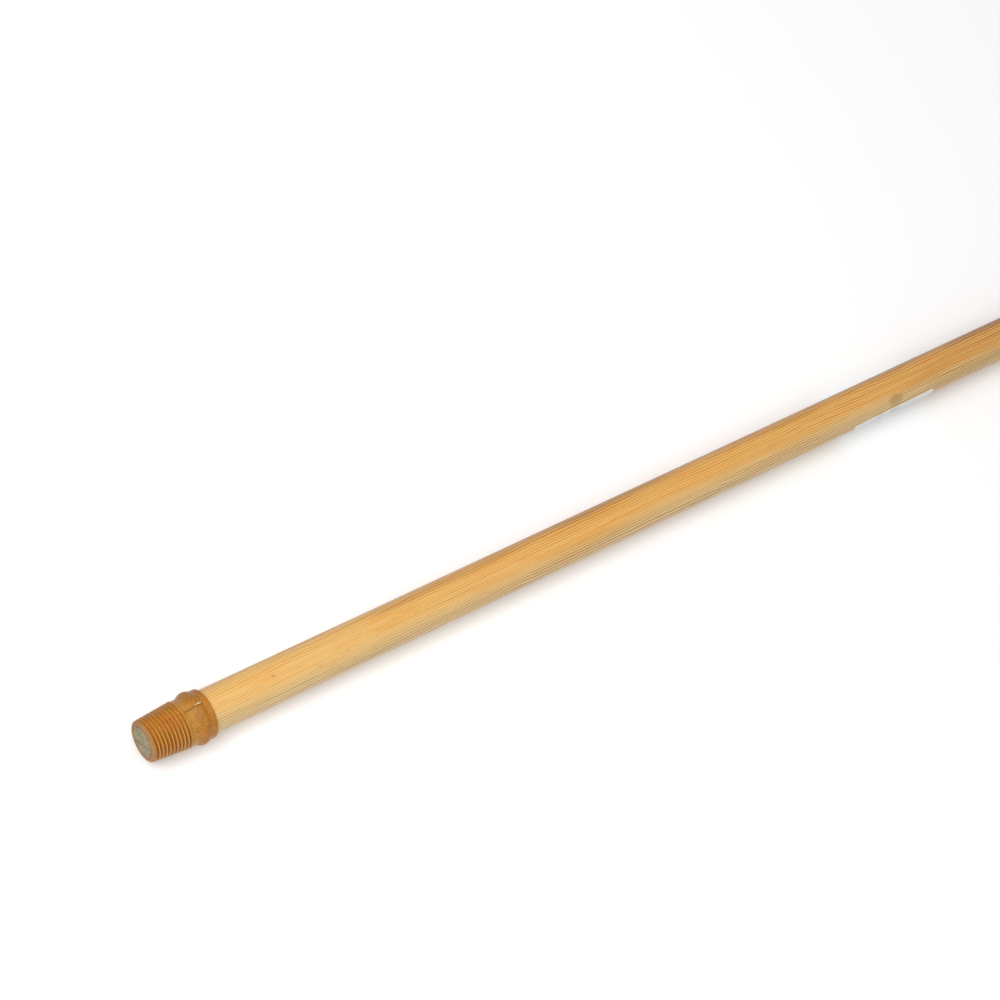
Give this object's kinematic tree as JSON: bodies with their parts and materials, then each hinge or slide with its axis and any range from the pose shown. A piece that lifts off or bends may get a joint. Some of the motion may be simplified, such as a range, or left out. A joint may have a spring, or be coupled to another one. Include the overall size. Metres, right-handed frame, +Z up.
{
  "type": "roller extension pole",
  "caption": "Round varnished pine pole with a tapered threaded plastic ferrule at the tool end and a plastic cap with a hanging eye at the other end.",
  "frame": {"origin": "centre of the wood's end face in the threaded ferrule, at the tool end", "axes": "+X along the pole towards the hanging cap, +Z up with the cap's hanging eye open along Z, +Y across"},
  "size_m": [1.2198, 0.0294, 0.029],
  "materials": {
    "pine": "clear satin varnish",
    "ferrule_plastic": "moulded, satin",
    "cap_plastic": "moulded, fine grained",
    "label_paper": null
  },
  "bodies": {
    "root": {"wood_shaft": "pine", "thread_ferrule": "ferrule_plastic", "hanging_cap": "cap_plastic", "label": "label_paper"}
  },
  "joints": []
}
